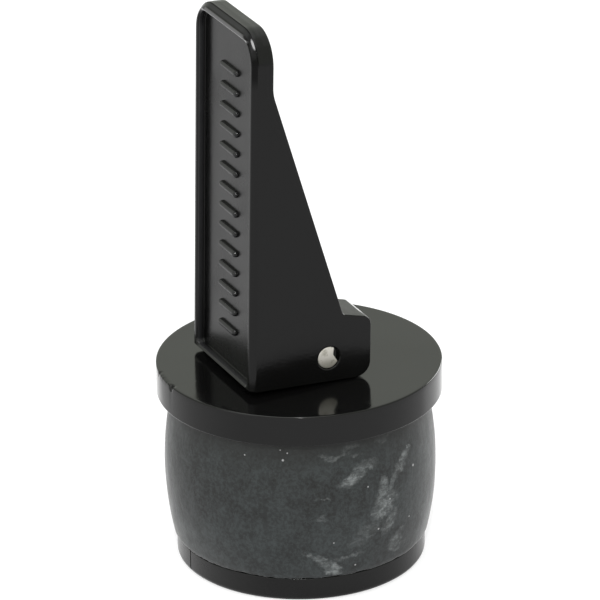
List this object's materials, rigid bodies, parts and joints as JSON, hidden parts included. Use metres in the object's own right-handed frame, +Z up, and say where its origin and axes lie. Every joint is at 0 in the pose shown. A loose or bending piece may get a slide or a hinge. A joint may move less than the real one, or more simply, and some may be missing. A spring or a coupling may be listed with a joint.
{
  "type": "boat drain plug",
  "caption": "Expanding boat drain plug with an upright cam lever, a round flange, a barrel rubber bung and a base disc on a steel draw stud.",
  "frame": {"origin": "centre of the underside of the base disc, on the axis of the draw stud", "axes": "+Z up along the draw stud, Y along the pivot pin, the recessed panel of the lever faces -X"},
  "size_m": [0.052, 0.052, 0.1062],
  "materials": {
    "lever_nylon": "satin moulded",
    "cap_nylon": "glossy moulded",
    "base_nylon": "satin moulded",
    "bung_rubber": "matt, scuffed",
    "pin_steel": "dull",
    "stud_steel": "turned"
  },
  "bodies": {
    "base": {"base_disc": "base_nylon", "rubber_bung": "bung_rubber", "lock_nut": "stud_steel"},
    "stud": {"draw_stud": "stud_steel", "pivot_pin": "pin_steel"},
    "lever_arm": {"lever": "lever_nylon"},
    "cap": {"cap_flange": "cap_nylon"}
  },
  "joints": [
    {"name": "stud_turn", "type": "hinge", "parent": "base", "child": "stud", "pos_m": [0, 0, 0.004], "axis": [0, 0, 1], "continuous": true},
    {"name": "lever_fold", "type": "hinge", "parent": "stud", "child": "lever_arm", "pos_m": [0, 0, 0.04295], "axis": [0, 1, 0], "range_deg": [0, 88.5]},
    {"name": "cap_press", "type": "slide", "parent": "base", "child": "cap", "axis": [0, 0, -1], "range_m": [0, 0.0041], "deforming": ["rubber_bung"]}
  ],
  "couplings": [
    {"joint": "cap_press", "follows": "lever_fold", "m_per_rad": 0.00265}
  ]
}
